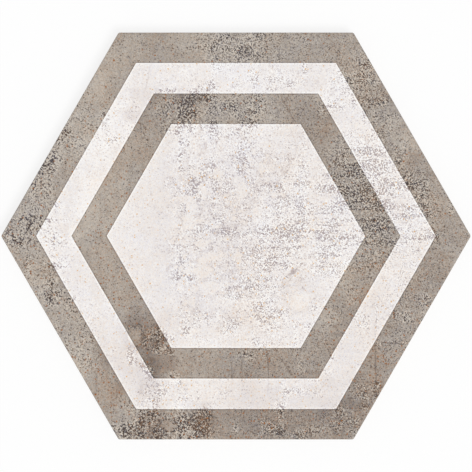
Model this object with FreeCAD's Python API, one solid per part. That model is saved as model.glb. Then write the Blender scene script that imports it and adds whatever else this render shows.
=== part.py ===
# Hexagonal floor tile of glazed porcelain, dry-pressed and fired as one piece.
#
# The tile lies on its back with its printed wearing face up. The origin is the middle of the
# back, +Z points up out of the wearing face, the long way from corner to corner runs along X,
# and two of the six joint edges face +Y and -Y.
#
# From the face down, its side has a rounded arris where the glaze rolls over, an upright joint
# face that meets the grout, a drafted flank that let the tile leave the die, and a small chamfer
# at the back. The back carries the key for the adhesive: a honeycomb of shallow pockets with
# sloping walls, inside a plain rim. The crests of the ribs and the rim are one plane.
import FreeCAD, Part
import math
import os

# Driving dimensions, in millimetres and degrees.
across_flats = 220.0        # between opposite joint faces
thickness = 9.0             # from the wearing face to the plane of the back
corner_radius = 1.5         # the six upright corners, seen from above
arris_radius = 0.8          # edge between the wearing face and a joint face
joint_face_height = 3.6     # upright band below the wearing face, arris included
flank_draft = 0.9           # how far the flank draws in between the joint face and the chamfer
back_chamfer = 0.7          # edge between the flank and the back
back_rim_width = 4.0        # least width of plain back outside the pockets
pocket_pitch = 14.0         # between the middles of neighbouring pockets
rib_width = 2.4             # crest left between two pockets
pocket_depth = 0.7
pocket_wall_angle = 40.0    # a pocket's wall, away from square to the back

# How far the pocket cutter runs out past the back plane, for a clean cut.
cutter_overrun = 0.5

SIDES = 6
HALF_CORNER = math.radians(180 / SIDES)


def direction(degrees):
    """Unit vector in the plane of the tile, turned that far from +X towards +Y."""
    angle = math.radians(degrees)
    return FreeCAD.Vector(math.cos(angle), math.sin(angle), 0)


def corner_direction(index):
    """Unit vector towards corner number index of the tile. Corner 0 lies on +X."""
    return direction(index * 360 / SIDES)


def tile_outline(inset, height):
    """Outline of the tile at one height, drawn in by inset, with its corners as arcs."""
    level = FreeCAD.Vector(0, 0, height)
    circumradius = (across_flats / 2 - inset) / math.cos(HALF_CORNER)
    tangent_length = corner_radius * math.tan(HALF_CORNER)
    tip_cut = corner_radius / math.cos(HALF_CORNER) - corner_radius
    edges = []
    for index in range(SIDES):
        # The side from this corner to the next one runs along the corner direction after next.
        towards_next = corner_direction(index + 2)
        towards_last = corner_direction(index - 2)
        corner = corner_direction(index) * circumradius + level
        next_corner = corner_direction(index + 1) * circumradius + level
        arc_start = corner + towards_last * tangent_length
        arc_middle = corner - corner_direction(index) * tip_cut
        arc_end = corner + towards_next * tangent_length
        side_end = next_corner - towards_next * tangent_length
        edges.append(Part.Arc(arc_start, arc_middle, arc_end).toShape())
        edges.append(Part.LineSegment(arc_end, side_end).toShape())
    return Part.Wire(edges)


def pressed_body():
    """Tile without its pockets: an upright top, a drafted flank and a chamfer, and a rounded arris."""
    flank_top = thickness - joint_face_height
    upright = Part.Face(tile_outline(0, flank_top)).extrude(FreeCAD.Vector(0, 0, joint_face_height))
    drafted = Part.makeLoft([
        tile_outline(flank_draft + back_chamfer, 0),
        tile_outline(flank_draft, back_chamfer),
        tile_outline(0, flank_top),
    ], True, True)
    body = drafted.fuse(upright)
    face_edges = [edge for edge in body.Edges if edge.BoundBox.ZMin > thickness - arris_radius / 2]
    return body.makeFillet(arris_radius, face_edges)


def pocket_corners(apothem, height):
    """Corners of a hexagon with two of them on the Y axis, the way the honeycomb's cells lie."""
    circumradius = apothem / math.cos(HALF_CORNER)
    level = FreeCAD.Vector(0, 0, height)
    first_corner = math.degrees(HALF_CORNER)
    return [direction(first_corner + index * 360 / SIDES) * circumradius + level
            for index in range(SIDES)]


def flat_face(corners):
    """Plane face with those corners."""
    return Part.Face(Part.makePolygon(corners + corners[:1]))


def pocket_cutter():
    """One pocket about the origin, narrowing upwards from its mouth in the back plane."""
    mouth_apothem = (pocket_pitch - rib_width) / 2
    slope = math.tan(math.radians(pocket_wall_angle))
    start = pocket_corners(mouth_apothem + cutter_overrun * slope, -cutter_overrun)
    floor = pocket_corners(mouth_apothem - pocket_depth * slope, pocket_depth)
    walls = [flat_face([start[index - 1], start[index], floor[index], floor[index - 1]])
             for index in range(SIDES)]
    return Part.Solid(Part.makeShell([flat_face(start), flat_face(floor)] + walls))


def pocket_centres():
    """Middles of the pockets: one at the tile's centre and as many whole rings as the back holds."""
    row_spacing = pocket_pitch * math.cos(HALF_CORNER)
    mouth_circumradius = (pocket_pitch - rib_width) / 2 / math.cos(HALF_CORNER)
    field = across_flats / 2 - flank_draft - back_chamfer - back_rim_width
    rings = int((field - mouth_circumradius) / row_spacing)
    centres = []
    for row in range(-rings, rings + 1):
        pockets_in_row = 2 * rings + 1 - abs(row)
        for place in range(pockets_in_row):
            along = (place - (pockets_in_row - 1) / 2) * pocket_pitch
            centres.append(FreeCAD.Vector(along, row * row_spacing, 0))
    return centres


def hexagon_tile():
    """The whole tile: the pressed body with the honeycomb key in its back."""
    cutter = pocket_cutter()
    pockets = []
    for centre in pocket_centres():
        pocket = cutter.copy()
        pocket.translate(centre)
        pockets.append(pocket)
    return pressed_body().cut(Part.makeCompound(pockets))


os.makedirs("parts", exist_ok=True)
tile = hexagon_tile()
tile.exportStep("parts/hexagon_tile.step")
print(f"hexagon_tile: {len(tile.Solids)} solid, {len(tile.Faces)} faces, valid {tile.isValid()}, "
      f"{tile.Volume / 1000:.1f} cm3, {tile.BoundBox.XLength:.2f} x {tile.BoundBox.YLength:.2f} "
      f"x {tile.BoundBox.ZLength:.2f} mm")
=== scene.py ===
# %% [markdown]
# # A hexagon floor tile of printed porcelain
# The real tile is one piece. Clay powder is pressed in a steel die, glazed, printed by ink jet with
# a pattern of worn concrete in four bands, and fired once. The CAD model has its true size, its
# pressed edge and the honeycomb in its back. This script dresses that model: it makes one closed
# surface with the same section, a finely uneven face and softened pockets, and prints the face.

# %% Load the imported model
import math

import bpy
import numpy as np
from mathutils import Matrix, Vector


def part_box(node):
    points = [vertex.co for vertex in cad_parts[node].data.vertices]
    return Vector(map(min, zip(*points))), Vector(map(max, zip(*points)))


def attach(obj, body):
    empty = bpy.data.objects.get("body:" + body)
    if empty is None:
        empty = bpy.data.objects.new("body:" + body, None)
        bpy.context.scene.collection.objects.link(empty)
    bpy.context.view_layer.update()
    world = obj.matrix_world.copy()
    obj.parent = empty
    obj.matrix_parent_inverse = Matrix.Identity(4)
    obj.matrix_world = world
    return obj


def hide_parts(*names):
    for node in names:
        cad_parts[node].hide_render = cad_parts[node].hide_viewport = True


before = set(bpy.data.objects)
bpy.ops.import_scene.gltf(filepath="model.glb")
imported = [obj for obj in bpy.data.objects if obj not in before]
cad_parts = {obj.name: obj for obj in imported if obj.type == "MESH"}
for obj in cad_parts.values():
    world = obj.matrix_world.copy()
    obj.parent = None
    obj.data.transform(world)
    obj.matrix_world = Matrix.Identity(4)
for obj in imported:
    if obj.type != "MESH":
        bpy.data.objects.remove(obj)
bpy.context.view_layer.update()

# %% [markdown]
# ## Sizes
# The frame gives the tile's width, thickness and place. The smaller sizes of the pressed edge and
# of the honeycomb are the ones that the die gives such a tile, and they are the CAD model's own.
# Everything is worked out in millimetres and turned to metres when it goes into a mesh.

# %% Sizes of the tile
MM = 0.001
NODE = "hexagon_tile"
SIDES = 6
HALF_CORNER = math.radians(180 / SIDES)

lowest, highest = np.array(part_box(NODE)) / MM
half_flats = (highest[1] - lowest[1]) / 2
face_height = highest[2]

corner_radius = 1.5         # the six upright corners, seen from above
arris_radius = 0.8          # edge between the wearing face and a joint face
joint_face_height = 3.6     # upright band below the wearing face, arris included
flank_draft = 0.9           # how far the flank draws in between the joint face and the chamfer
back_chamfer = 0.7          # edge between the flank and the back

pocket_pitch = 14.0         # between the middles of neighbouring pockets
rib_width = 2.4             # crest left between two pockets
pocket_depth = 0.7
pocket_wall_angle = 40.0    # a pocket's wall, away from square to the back
pocket_wall_run = pocket_depth * math.tan(math.radians(pocket_wall_angle))
pocket_rings = 8            # round the middle pocket

print(f"tile {2 * half_flats:.1f} mm between flats, face at {face_height:.1f} mm")

# %% [markdown]
# ## The outline
# Seen from above, every level of the tile is a hexagon with rounded corners, only drawn in by a
# different amount. The pockets in the back are such hexagons too, turned by half a corner. So one
# function of two parameters, the side and the step along that side, serves for all of them.

# %% Outline of a rounded hexagon
def directions(angle):
    """Unit vectors at these angles in the plane of the tile."""
    return np.stack([np.cos(angle), np.sin(angle)], axis=-1)


def rounded_hexagon(side, step, steps, apothem, radius, arc_steps, first_corner=0.0):
    """Points on a hexagon whose flats are apothem from its middle and whose corners are arcs.

    A point is the middle of an arc, which slides along the straight from corner to corner, plus the
    radius times a direction, which turns only while the point is on one of the two arcs. The first
    and last arc_steps of the steps of a side are on the arcs, and the others lie evenly between."""
    corner = 2 * HALF_CORNER * side + first_corner
    arc_middle_distance = (apothem - radius) / math.cos(HALF_CORNER)
    straight_steps = np.maximum(steps - 2 * arc_steps, 1)
    slide = np.clip((step - arc_steps) / straight_steps, 0, 1)[..., None]
    turn = np.clip(step / arc_steps, 0, 1) + np.clip((step - steps + arc_steps) / arc_steps, 0, 1)
    this_middle = directions(corner) * arc_middle_distance
    next_middle = directions(corner + 2 * HALF_CORNER) * arc_middle_distance
    middle = this_middle * (1 - slide) + next_middle * slide
    return middle + radius * directions(corner + HALF_CORNER * turn)


# %% [markdown]
# ## Wear of the printed pattern
# The print shows a concrete floor that was trodden for years: dense dark specks where the skin of
# the concrete is gone, soft stains, islands where its skin is whole, and creases. The places of
# these marks are this tile's own, so they are given one by one, in millimetres from its middle. Patches
# and stains are soft ovals, islands are ovals with a clear edge, and creases are lines through a few
# points. A seeded noise bends them all. What they give each point of the mesh is stored with it, and
# the material reads that. The specks themselves are too fine for the mesh and come from the material.

# %% Soft noise on a plane
def smooth(amount):
    """The curve 3t^2 - 2t^3, which goes from 0 to 1 with no kink at its ends."""
    amount = np.clip(amount, 0, 1)
    return amount * amount * (3 - 2 * amount)


def cloud(x, y, size, seed, octaves=3):
    """Value noise between -1 and 1: random heights on a square lattice, blended with the smooth curve
    between its four nearest knots, and summed over octaves of half the size and half the height."""
    knots = 64
    total = np.zeros_like(x)
    height = 0.5
    for octave in range(octaves):
        heights = np.random.default_rng(seed + octave).uniform(-1, 1, (knots, knots))
        column = x / size * 2 ** octave + knots / 2
        row = y / size * 2 ** octave + knots / 2
        left = np.floor(column).astype(int)
        lower = np.floor(row).astype(int)
        across = smooth(column - left)
        up = smooth(row - lower)
        low_pair = heights[lower % knots, left % knots] * (1 - across)
        low_pair += heights[lower % knots, (left + 1) % knots] * across
        high_pair = heights[(lower + 1) % knots, left % knots] * (1 - across)
        high_pair += heights[(lower + 1) % knots, (left + 1) % knots] * across
        total += height * (low_pair * (1 - up) + high_pair * up)
        height /= 2
    return total


# %% Specks
# Each is (x, y, half width, half height, strength), in millimetres from the tile's middle. A strength
# below zero means fewer specks.
SPECKS = [
    # wide and thin
    (5, 10, 38, 62, 0.32), (62, 10, 34, 40, 0.24), (-108, 0, 14, 44, 0.15), (-40, -98, 24, 14, 0.35),
    (66, 84, 16, 16, 0.3), (5, 104, 34, 12, 0.2), (20, -50, 34, 16, 0.12), (-66, 58, 14, 12, 0.15),
    (74, 30, 16, 18, 0.6), (36, 6, 24, 14, 0.1), (-28, 10, 8, 55, 0.25), (-10, 100, 14, 12, 0.28),
    (-50, -106, 20, 7, 0.5), (-120, 4, 8, 12, 0.15), (-106, 32, 8, 24, 0.4), (-98, -20, 8, 20, 0.12),
    (-24, -104, 14, 8, 0.3), (-100, -34, 6, 8, 0.15), (-24, 70, 16, 9, 0.4), (6, 70, 12, 8, 0.25),
    (76, 72, 8, 26, 0.26), (98, 10, 12, 20, 0.3), (52, -12, 10, 10, 0.05), (-88, 60, 14, 24, 0.2),
    (-88, -60, 14, 24, 0.25), (90, -46, 20, 30, 0.15), (24, -101, 40, 10, 0.15), (-17, 75, 10, 8, 0.5),
    (-30, 87, 14, 7, 0.16), (-10, -86, 20, 8, 0.12),
    # upper middle
    (-35, 78.5, 9, 1.3, 0.9), (-15, 81, 6, 2.5, 0.6), (-24, 74, 8, 3, 0.8), (-12, 94, 3, 9, 0.35),
    (-6, 107, 4, 3, 0.4), (12, 108, 4, 3, 0.5), (2, 104, 6, 5, 0.35), (4, 98, 6, 4, 0.45),
    (10, 87, 2.5, 4, 0.5), (37, 92, 1.5, 5, 0.5), (20, 80, 4, 1.5, 0.6), (29, 81, 2.5, 1.5, 0.5),
    (28, 86, 10, 5, 0.25), (-26, 67, 2, 3, 0.7), (-29, 65, 7, 8, 0.5), (-33, 57, 5, 2.5, 0.9),
    (-24, 58, 2.5, 4, 0.7), (-13, 58, 4, 4, 0.5), (-3, 69, 5, 5, 0.7), (9, 68, 5, 9, 0.45),
    (-28, 50, 3, 4, 0.6), (-29, 43, 2.5, 3.5, 0.7), (-30, 36, 4, 2.5, 0.7), (5, 57, 5, 5, 0.4),
    (5, 45, 6, 8, 0.3), (3, 37, 5, 5, 0.7), (-18, 60, 16, 2, 0.25), (-10, 52, 14, 6, 0.2),
    # middle
    (-23, 27, 6, 4, 0.7), (-17, 38, 8, 5, 0.5), (-13, 31, 6, 2, 0.6), (-21, 22, 3, 1.5, 0.7),
    (-8, 25, 6, 8, 0.35), (-20, 14, 1.5, 4, 0.7), (-11, 11, 2.5, 3, 0.5), (-28, 14, 2, 3, 0.5),
    (-17, 5, 10, 3, 0.45), (-4, 2, 5, 2.5, 0.9), (10, 2, 12, 2, 0.5), (25, 5, 10, 6, 0.3),
    (26, 14, 8, 5, 0.08), (22, 26, 8, 4, 0.3), (36, 28, 4, 5, 0.55), (37, 37, 4, 5, 0.5),
    (37, 12, 4, 6, 0.4), (36, 3, 6, 5, 0.3), (-27, -5, 7, 2, 0.4), (-28, -20, 6, 8, 0.5),
    (12, -8, 12, 6, 0.3), (14, -16, 10, 4, 0.5), (20, -4, 6, 3, 0.4), (20, 2.5, 5, 4, 0.5),
    (12, -24, 10, 5, 0.45), (2, -32, 10, 4, 0.5), (15, -38, 6, 6, 0.4), (30, -6, 8, 8, 0.35),
    (35, -14, 1.5, 3, 0.4),
    # right, the most trodden, in rows
    (51, 8, 1.2, 14, 0.4), (57, 16, 6, 4.5, 1.0), (68, 38.5, 14, 1.8, 0.8), (58, 33, 8, 1.6, 0.7),
    (70, 31.5, 9, 1.2, 0.8), (74, 38, 4, 4, 0.35), (76, 44, 2.5, 5, 0.2), (68, 47, 6, 3, 0.3),
    (66, 41, 3, 2, 0.7), (82, 40, 5, 4, 0.35), (81, 31, 5, 2, 0.6), (60, 26.5, 14, 1.6, 0.8),
    (46, 25, 6, 2, 0.6), (80, 26, 7, 3, 0.55), (91, 27, 6, 3, 0.35), (66, 24.5, 12, 1.4, 0.7),
    (68, 19, 13, 1.6, 0.9), (90, 20, 6, 1.2, 0.25), (70, 15, 13, 1.4, 1.0), (86, 17, 10, 1, 0.1),
    (66, 12, 9, 1, 0.4), (48, 13, 8, 2, 0.5), (66, 9, 12, 1, 0.6), (76, 6, 8, 3, 0.5),
    (70, 3.5, 12, 1.6, 0.8), (53, 3, 5, 6, 0.2), (54, -5, 8, 3, 0.08), (55, -13, 7, 3, 0.25),
    (68, -0.5, 9, 1.2, 0.7), (66, -5, 10, 2.5, 0.4), (94, -4, 10, 4, 0.3), (84, -4, 2, 2, 0.6),
    (106, 1, 2, 2, 0.6), (104, 6, 2.5, 6, 0.4), (103, 20, 3, 8, 0.4), (108, 18, 2, 6, 0.4),
    (96, 11, 6, 3, 0.25), (116, 16, 2, 5, 0.4), (47, 2, 3, 3, 0.5), (40, -3, 8, 8, 0.2),
    (47, -19, 8, 3, 0.3),
    # upper right
    (70, 88, 3, 7, 0.4), (64, 83, 5, 4, 0.5), (56, 88, 2.5, 2, 0.6), (54, 83, 5, 3, 0.3),
    (73, 82, 4, 5, 0.35), (63.5, 73, 1.5, 5, 0.8), (69, 66, 1, 4, 0.6), (55, 71, 6, 4, 0.4),
    (78, 73, 5, 3, 0.45), (84, 65, 6, 1.2, 0.5), (70, 72, 5, 4, 0.3), (72, 97, 2, 3, 0.4),
    (48, 68, 4, 4, 0.3), (58, 44, 3, 6, 0.3),
    # left
    (-119, 9, 4, 1.5, 0.9), (-108, 9, 12, 1.2, 0.8), (-96, 8.5, 6, 1.2, 1.0), (-96, 15, 4, 4, 0.5),
    (-112, 5, 8, 3, 0.28), (-122, 1, 3, 3, 0.9), (-118, -3, 6, 3, 0.4), (-98, 0, 4, 4, 0.45),
    (-96, -4, 7, 3, 0.5), (-98, -16, 5, 2, 0.4), (-92, -14, 3, 5, 0.2), (-100, -25, 3, 2, 0.7),
    (-92, -24, 4, 2, 0.4), (-98, -31, 3, 1.2, 0.4), (-92, -29.5, 3, 1, 1.1), (-90, -34, 6, 1, 1.0),
    (-101, -35, 2, 2, 0.5), (-96, -37, 8, 1, 0.4), (-102, 40, 3, 3, 0.5), (-105, 35, 3, 2, 0.7),
    (-110, 27, 2.5, 3, 0.8), (-100, 35, 5, 5, 0.4), (-97, 42, 3, 1.5, 0.6), (-92, 57, 3, 5, 0.7),
    (-91.5, 60, 1.5, 1.5, 1), (-86, 66, 3, 3, 0.4), (-94, 51, 3, 2, 0.5), (-112, -15, 2, 5, 0.4),
    (-57, 70, 4, 4, 0.4), (-66, 52, 5, 2, 0.4), (-72, 64, 4, 4, 0.3), (-57, 57, 2, 3, 0.4),
    # lower left
    (-51, -52, 1.5, 4, 0.7), (-50, -58, 2, 3, 0.8), (-55, -65, 6, 5, 0.7), (-54, -69, 4, 1.5, 0.9),
    (-48, -74, 3, 3, 0.9), (-47, -79, 4, 3, 0.4), (-45, -86, 4, 5, 0.35), (-46, -92, 4, 3, 0.35),
    (-46, -98, 6, 5, 0.7), (-58, -106, 7, 3, 0.6), (-45, -107, 8, 4, 0.9), (-64, -108, 2, 2, 0.9),
    (-67, -62, 3, 2, 0.4), (-58, -50, 3, 1.5, 0.5), (-43, -55, 7, 4, 1.1), (-41, -61, 6, 3, 1.0),
    (-34, -76, 3, 2.5, 0.7), (-32, -79, 3, 1.5, 0.8), (-38, -82, 5, 5, 0.3), (-32, -102, 8, 6, 0.55),
    (-30, -109, 6, 2, 0.8), (-24, -88, 6, 2, 0.5), (-20, -85, 2, 5, 0.5), (-20, -98, 5, 6, 0.55),
    (-18, -106, 5, 4, 0.95),
    # lower middle
    (-27, -45, 8, 5, 0.18), (-14, -46, 7, 3, 0.4), (-18, -43, 10, 2, 0.35), (-5, -45, 4, 4, 0.3),
    (0, -40, 1.2, 10, 0.45), (-6, -52, 5, 3, 0.35), (-26, -52, 2, 3, 0.5), (-18, -56, 6, 3, 0.2),
    (14, -37, 6, 5, 0.2), (12, -45, 5, 3, 0.3), (20, -44, 4, 3, 0.3), (24, -41, 4, 2, 0.5),
    (10, -56, 3, 3, 0.4), (32, -55, 1.2, 6, 0.5), (40, -49, 3, 2, 0.6), (5, -64, 5, 4, 0.35),
    (35, -70, 3, 4, 0.35), (28, -84, 3, 3, 0.45), (34, -83, 4, 4, 0.3), (26, -80, 2, 1.5, 0.45),
    (24, -96, 2, 4, 0.5), (26, -91, 3, 2, 0.6), (23, -105, 4, 2, 0.9), (16, -102, 3, 3, 0.5),
    (12, -108, 4, 2, 0.4), (34, -108, 4, 3, 0.55), (38, -103, 3, 3, 0.5), (0, -105, 2, 5, 0.4),
    # lower right
    (42, -38, 3, 3, 0.5), (92, -42, 4, 5, 0.25), (102, -36, 3, 5, 0.5), (101, -44, 1.5, 3, 0.5),
    (85, -42, 2, 2, 0.5), (68, -46, 5, 5, 0.3), (76, -44, 1, 8, 0.5), (85, -58, 9, 1.2, 0.7),
    (76, -84, 2.5, 4, 0.9), (66, -84, 5, 4, 0.4), (52, -65.5, 1.5, 1.5, 0.6), (50, -72, 4, 4, 0.2),
    (42, -79, 5, 2, 0.45), (45, -84, 6, 3, 0.35), (70, -90, 1.5, 6, 0.5), (56, -95, 5, 5, 0.3),
    (64, -98, 3, 4, 0.35), (56, -103, 4, 5, 0.28), (45, -105, 6, 4, 0.28), (64, -105, 3, 4, 0.4),
    # cleaner
    (75, 42, 4, 3, -0.3), (88, 17, 4, 4, -0.35),
]

# %% Stains and clean places
# They are given as the specks are. A stain's strength is above zero, and a clean place's below.
STAINS = [
    # dark, wide and soft
    (-15, 22, 22, 34, 0.08), (50, 22, 36, 24, 0.1), (-25, -5, 14, 18, 0.1), (8, -14, 16, 16, 0.15),
    (-50, -66, 16, 22, 0.15), (22, -98, 46, 18, 0.29), (-33, 68, 16, 14, 0.15), (-8, 15, 10, 12, 0.1),
    (-38, 5, 10, 30, 0.07), (-36, 40, 6, 20, 0.09), (35, 58, 6, 12, 0.15), (44, 52, 5, 5, 0.15),
    (48, 63, 12, 12, 0.1), (-50, 76, 8, 5, 0.25), (-56, 66, 5, 4, 0.4), (-53, 55, 6, 14, 0.1),
    (-54, -64, 14, 18, 0.3), (-75, -55, 10, 12, 0.15), (-48, -82, 6, 12, 0.3), (8, -84, 10, 8, 0.2),
    (75, -40, 3, 14, 0.15), (80, -35, 8, 12, 0.1), (60, -95, 14, 12, 0.12), (52, -80, 16, 6, 0.1),
    (-20, -43, 24, 6, 0.25), (-75, -28, 5, 8, 0.15), (-45, -102, 8, 9, 0.4), (-20, -98, 6, 12, 0.55),
    (72, -66, 34, 44, 0.1), (5, -69, 30, 8, 0.08), (88, 46, 14, 24, 0.05), (98, 0, 18, 44, 0.11),
    (-88, -62, 14, 20, 0.06), (-38, -102, 26, 9, 0.16), (76, 74, 14, 18, 0.12), (-5, -48, 28, 12, 0.12),
    (-10, 48, 24, 12, -0.06), (-40, -86, 14, 8, 0.24), (-97, 0, 6, 6, 0.06), (-44, -58, 9, 7, 0.42),
    (-22, 16, 12, 22, -0.05),
    # dark, small
    (-24, 75, 8, 4, 0.9), (-28, 71, 8, 4, 0.3), (-35, 78.5, 9, 1.2, 0.4), (-15, 81, 6, 2.5, 0.45),
    (-24, 27, 5, 4, 0.2), (57, 16, 4, 4, 0.15), (80, 26, 6, 3, 0.04), (-4, 2.5, 7, 3, 0.45),
    (-20, 14, 2, 4, 0.45), (-30, 36, 4, 3, 0.3), (-33, 57, 5, 3, 0.35), (-29, 43, 2, 4, 0.3),
    (-41, -56, 5, 4, 0.35), (-56, -60, 2, 2, 0.65), (-54, -69, 4, 1.5, 0.4), (-47, -78, 4, 3, 0.4),
    (-45, -107, 10, 3, 0.3), (-18, -106, 5, 4, 0.65), (23, -105, 4, 2, 0.4), (76, -84, 2, 4, 0.4),
    (66, -84, 4, 3, 0.05),
    # clean
    (-72, 35, 16, 34, -0.11), (-98, 62, 10, 22, -0.15), (-70, -20, 12, 20, -0.08),
    (-66, 96, 12, 14, -0.12), (-76, 82, 6, 8, -0.15), (-80, 14, 7, 18, -0.14), (-88, -2, 3, 8, -0.25),
    (-108, -22, 6, 10, -0.15), (-95, -45, 10, 12, -0.08), (-85, -65, 8, 14, -0.2), (93, 52, 9, 7, -0.3),
    (86, 62, 6, 4, -0.2), (57, -25, 7, 10, -0.15), (50, -45, 8, 6, -0.2), (15, 62, 8, 10, -0.08),
    (45, 75, 5, 4, -0.2), (35, -34, 5, 6, -0.2), (1, 82, 8, 6, -0.1), (-55, -54, 4, 4, -0.25),
    (-62, 5, 8, 16, -0.07), (-90, 75, 6, 8, -0.15), (-70, 70, 40, 44, -0.05),
]

# %% Warm and cool places
# The print is a little warmer where the strength is above zero, and cooler below.
WARMTH = [
    (0, 90, 24, 26, -0.9), (-40, 80, 26, 22, -0.15), (42, 82, 24, 22, -0.4), (-18, 70, 12, 8, -0.15),
    (88, 64, 6, 12, -0.7), (-118, 4, 14, 12, -1.0), (-92, 2, 10, 14, -0.4), (-92, -36, 10, 22, -0.45),
    (-103, 40, 14, 26, -0.75), (64, 30, 12, 22, -0.1), (100, 22, 5, 8, -0.7), (80, 3, 8, 12, -0.5),
    (-48, 5, 9, 16, -0.25), (-30, -28, 10, 14, -0.2), (2, 48, 20, 16, -0.45), (6, -67, 9, 6, -0.3),
    (-76, 76, 7, 11, 0.8), (-68, 30, 11, 18, 0.7), (-52, 50, 8, 14, 0.6), (-78, 10, 7, 9, 0.6),
    (-72, -15, 8, 16, 0.5), (-60, -32, 9, 8, 0.7), (-50, -60, 30, 16, 0.6), (-70, -86, 12, 14, 0.7),
    (-18, -88, 40, 13, 0.6), (10, -48, 26, 14, 0.85), (-10, -108, 13, 8, 0.8), (29, -24, 8, 16, 0.5),
    (-24, 6, 8, 15, 0.5), (-4, 8, 7, 12, 0.4), (2, -11, 14, 8, 0.5), (26, 34, 14, 13, 0.7),
    (40, 56, 18, 8, 0.4), (70, -32, 13, 20, 0.8), (73, -62, 5, 20, 0.7), (50, -66, 8, 8, 0.8),
    (88, -20, 14, 12, 0.4), (110, 14, 6, 9, 0.4), (94, 34, 6, 9, 0.3), (72, -90, 8, 10, 0.6),
    (32, -101, 14, 8, 0.5), (-46, -103, 14, 7, 0.3),
]

# %% Flakes of whole skin
# An island is (x, y, half width, half height). Where the skin is flaky, loose flakes lie between the
# islands, and the last number is how far they come up.
ISLANDS = [
    (-24, 17, 5, 3.5), (-25, 8, 4, 5), (1, 30, 3.5, 3), (3, 24, 3, 3),
    (-17, 24, 2, 3), (-22, 34, 3, 2), (-9, 34, 3, 2), (-55, -54, 3.5, 4),
    (-37, -102, 3.5, 2.5), (35, -35, 6, 6), (-18, -4, 5, 2), (-14, -28, 6, 4),
    (-16, -11, 4, 2),
]
FLAKY = [
    (-14, 14, 26, 46, 2.6), (-16, -22, 22, 16, 2.4), (16, 36, 14, 18, 2.3), (32, -30, 12, 14, 2.0),
    (-57, -54, 7, 8, 2.2), (-37, -101, 8, 6, 2.1),
]
FLAKES_SUNK = 3.0           # how far below a flake's edge the level is where the skin isn't flaky
LOOSE_FLAKES_SUNK = 0.5     # and how far at least between the islands, where it is

# %% Creases
# A crease is its strength, its half width and the points along it. Below zero it is pale.
CREASES = [
    (0.5, 0.4, [(-31, 58), (-29, 51), (-27, 48)]),
    (0.3, 0.4, [(-26, 47), (-23, 44), (-20, 41)]),
    (0.5, 0.4, [(-26, 29), (-20, 31), (-12, 34)]),
    (0.5, 0.4, [(-3, 32), (0, 35), (2, 39)]),
    (0.4, 0.35, [(-5, 57), (-2, 52), (1, 50)]),
    (0.3, 0.3, [(-21, 92), (-21, 83)]),
    (0.35, 0.4, [(24, 75), (29, 67), (33, 60)]),
    (0.35, 0.4, [(29, 60), (33, 47), (28, 36), (22, 28)]),
    (0.3, 0.35, [(56, 52), (54, 40), (52, 27)]),
    (0.3, 0.35, [(37, 19), (36, 9), (35, -2)]),
    (0.6, 0.5, [(13, 15), (16, 15.5), (19, 17)]),
    (2.0, 1.2, [(27.5, -22.8), (30.3, -19.6), (33.2, -16.4)]),
    (0.4, 0.5, [(17.3, -61), (17.3, -88)]),
    (0.2, 0.4, [(3.2, -58), (3.2, -88)]),
    (0.2, 0.4, [(-2.2, -62), (-2.2, -86)]),
    (0.25, 0.4, [(22.7, -86), (22.7, -74)]),
    (0.4, 0.4, [(22, -64), (27, -70), (31, -77)]),
    (0.7, 0.5, [(76.5, -58), (84, -57.5), (93, -59)]),
    (0.4, 0.5, [(75.2, -46), (75.2, -66), (76, -80), (76, -88)]),
    (0.5, 0.4, [(78, 75), (82, 75.5), (85, 73)]),
    (0.5, 0.4, [(81, 64), (85, 66), (89, 65)]),
    (0.4, 0.5, [(-46, 94), (-47.5, 86), (-50, 76)]),
    (0.3, 0.5, [(-120, 8.5), (-108, 9.2), (-90, 8.5)]),
    (0.5, 0.5, [(-101, -31), (-92, -29.5)]),
    (0.5, 0.5, [(-97, -35), (-86, -33.5)]),
]

# %% Sums of the marks
EDGE_BEND = 0.6     # how far the noise bends a mark's edge, as a share of the mark's size
BEND_SIZE = 7.0     # of that noise, in millimetres
CREASE_REACH = 2.5  # a crease has faded this far to its side
CREASE_FADE = 4.0   # and is whole from this far along it
FAR_AWAY = 1000.0


def bent_distance(x, y, bend, mark):
    """Distance from a mark's middle, where 1 is its edge, bent by a share of a noise."""
    middle_x, middle_y, half_width, half_height = mark[:4]
    return np.hypot((x - middle_x) / half_width, (y - middle_y) / half_height) + EDGE_BEND * bend


def sum_of_marks(x, y, marks):
    """Sum of soft ovals: each is its strength times e to the minus distance^3."""
    bend = cloud(x, y, BEND_SIZE, seed=11)
    return sum(mark[4] * np.exp(-np.abs(bent_distance(x, y, bend, mark)) ** 3) for mark in marks)


def flake_level(x, y):
    """Millimetres inside the edge of the nearest island, and below zero outside it. Where the skin is
    flaky it is little below zero, so that a noise can lift flakes there."""
    bend = cloud(x, y, BEND_SIZE / 2, seed=23)
    level = np.minimum(sum_of_marks(x, y, FLAKY) - FLAKES_SUNK, -LOOSE_FLAKES_SUNK)
    for island in ISLANDS:
        inside = (1 - bent_distance(x, y, bend, island)) * min(island[2:4])
        level = np.maximum(level, inside)
    return level


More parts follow.
